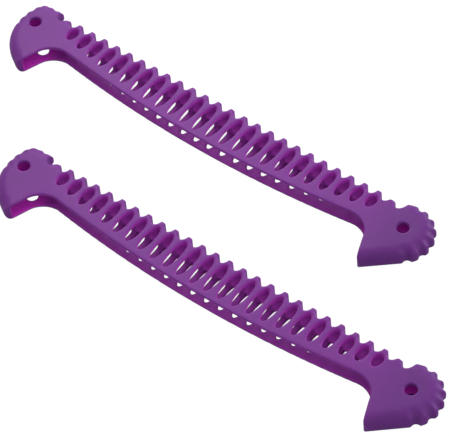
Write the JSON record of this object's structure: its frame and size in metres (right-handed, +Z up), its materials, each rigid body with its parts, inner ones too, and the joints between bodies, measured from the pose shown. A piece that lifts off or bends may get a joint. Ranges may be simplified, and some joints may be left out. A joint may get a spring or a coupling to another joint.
{
  "type": "skate blade guards",
  "caption": "Pair of one-piece elastic guards that stretch over the blades of ice skates: toothed tread, windowed channel walls and a hooked pocket at each end.",
  "frame": {"origin": "middle of the pair's footprint, on the floor they lie on", "axes": "+X along the guards towards their heel ends, +Y towards the tread teeth, +Z up from the floor through the guards' width"},
  "size_m": [0.308, 0.1148, 0.01],
  "materials": {
    "purple_elastomer": "satin"
  },
  "bodies": {
    "guard_a_toe_cap": {"guard_a_toe_cap": "purple_elastomer"},
    "guard_a_ribs_1": {"guard_a_ribs_1": "purple_elastomer"},
    "guard_a_ribs_2": {"guard_a_ribs_2": "purple_elastomer"},
    "guard_a_ribs_3": {"guard_a_ribs_3": "purple_elastomer"},
    "guard_a_ribs_4": {"guard_a_ribs_4": "purple_elastomer"},
    "guard_a_ribs_5": {"guard_a_ribs_5": "purple_elastomer"},
    "guard_a_ribs_6": {"guard_a_ribs_6": "purple_elastomer"},
    "guard_a_heel_cap": {"guard_a_heel_cap": "purple_elastomer"},
    "guard_b_toe_cap": {"guard_b_toe_cap": "purple_elastomer"},
    "guard_b_ribs_1": {"guard_b_ribs_1": "purple_elastomer"},
    "guard_b_ribs_2": {"guard_b_ribs_2": "purple_elastomer"},
    "guard_b_ribs_3": {"guard_b_ribs_3": "purple_elastomer"},
    "guard_b_ribs_4": {"guard_b_ribs_4": "purple_elastomer"},
    "guard_b_ribs_5": {"guard_b_ribs_5": "purple_elastomer"},
    "guard_b_ribs_6": {"guard_b_ribs_6": "purple_elastomer"},
    "guard_b_heel_cap": {"guard_b_heel_cap": "purple_elastomer"}
  },
  "joints": [
    {"name": "guard_a_stretch", "type": "slide", "parent": "guard_a_heel_cap", "child": "guard_a_toe_cap", "axis": [-1, 0, 0], "range_m": [0, 0.05], "stiffness_N_per_m": 500},
    {"name": "guard_a_ribs_1_shift", "type": "slide", "parent": "guard_a_heel_cap", "child": "guard_a_ribs_1", "axis": [-1, 0, 0], "range_m": [0, 0.04952]},
    {"name": "guard_a_ribs_2_shift", "type": "slide", "parent": "guard_a_heel_cap", "child": "guard_a_ribs_2", "axis": [-1, 0, 0], "range_m": [0, 0.04269]},
    {"name": "guard_a_ribs_3_shift", "type": "slide", "parent": "guard_a_heel_cap", "child": "guard_a_ribs_3", "axis": [-1, 0, 0], "range_m": [0, 0.03169]},
    {"name": "guard_a_ribs_4_shift", "type": "slide", "parent": "guard_a_heel_cap", "child": "guard_a_ribs_4", "axis": [-1, 0, 0], "range_m": [0, 0.01931]},
    {"name": "guard_a_ribs_5_shift", "type": "slide", "parent": "guard_a_heel_cap", "child": "guard_a_ribs_5", "axis": [-1, 0, 0], "range_m": [0, 0.00831]},
    {"name": "guard_a_ribs_6_shift", "type": "slide", "parent": "guard_a_heel_cap", "child": "guard_a_ribs_6", "axis": [-1, 0, 0], "range_m": [0, 0.00148]},
    {"name": "guard_b_stretch", "type": "slide", "parent": "guard_b_heel_cap", "child": "guard_b_toe_cap", "axis": [-0.9999, -0.0105, 0], "range_m": [0, 0.05], "stiffness_N_per_m": 500},
    {"name": "guard_b_ribs_1_shift", "type": "slide", "parent": "guard_b_heel_cap", "child": "guard_b_ribs_1", "axis": [-0.9999, -0.0105, 0], "range_m": [0, 0.04952]},
    {"name": "guard_b_ribs_2_shift", "type": "slide", "parent": "guard_b_heel_cap", "child": "guard_b_ribs_2", "axis": [-0.9999, -0.0105, 0], "range_m": [0, 0.04269]},
    {"name": "guard_b_ribs_3_shift", "type": "slide", "parent": "guard_b_heel_cap", "child": "guard_b_ribs_3", "axis": [-0.9999, -0.0105, 0], "range_m": [0, 0.03169]},
    {"name": "guard_b_ribs_4_shift", "type": "slide", "parent": "guard_b_heel_cap", "child": "guard_b_ribs_4", "axis": [-0.9999, -0.0105, 0], "range_m": [0, 0.01931]},
    {"name": "guard_b_ribs_5_shift", "type": "slide", "parent": "guard_b_heel_cap", "child": "guard_b_ribs_5", "axis": [-0.9999, -0.0105, 0], "range_m": [0, 0.00831]},
    {"name": "guard_b_ribs_6_shift", "type": "slide", "parent": "guard_b_heel_cap", "child": "guard_b_ribs_6", "axis": [-0.9999, -0.0105, 0], "range_m": [0, 0.00148]},
    {"name": "guard_b_lift", "type": "slide", "parent": "guard_a_heel_cap", "child": "guard_b_heel_cap", "axis": [0, 0, 1], "range_m": [0, 0.12]}
  ],
  "couplings": [
    {"joint": "guard_a_ribs_1_shift", "follows": "guard_a_stretch", "ratio": 0.9803},
    {"joint": "guard_a_ribs_2_shift", "follows": "guard_a_stretch", "ratio": 0.8438},
    {"joint": "guard_a_ribs_3_shift", "follows": "guard_a_stretch", "ratio": 0.6238},
    {"joint": "guard_a_ribs_4_shift", "follows": "guard_a_stretch", "ratio": 0.3762},
    {"joint": "guard_a_ribs_5_shift", "follows": "guard_a_stretch", "ratio": 0.1562},
    {"joint": "guard_a_ribs_6_shift", "follows": "guard_a_stretch", "ratio": 0.0197},
    {"joint": "guard_b_ribs_1_shift", "follows": "guard_b_stretch", "ratio": 0.9803},
    {"joint": "guard_b_ribs_2_shift", "follows": "guard_b_stretch", "ratio": 0.8438},
    {"joint": "guard_b_ribs_3_shift", "follows": "guard_b_stretch", "ratio": 0.6238},
    {"joint": "guard_b_ribs_4_shift", "follows": "guard_b_stretch", "ratio": 0.3762},
    {"joint": "guard_b_ribs_5_shift", "follows": "guard_b_stretch", "ratio": 0.1562},
    {"joint": "guard_b_ribs_6_shift", "follows": "guard_b_stretch", "ratio": 0.0197}
  ]
}
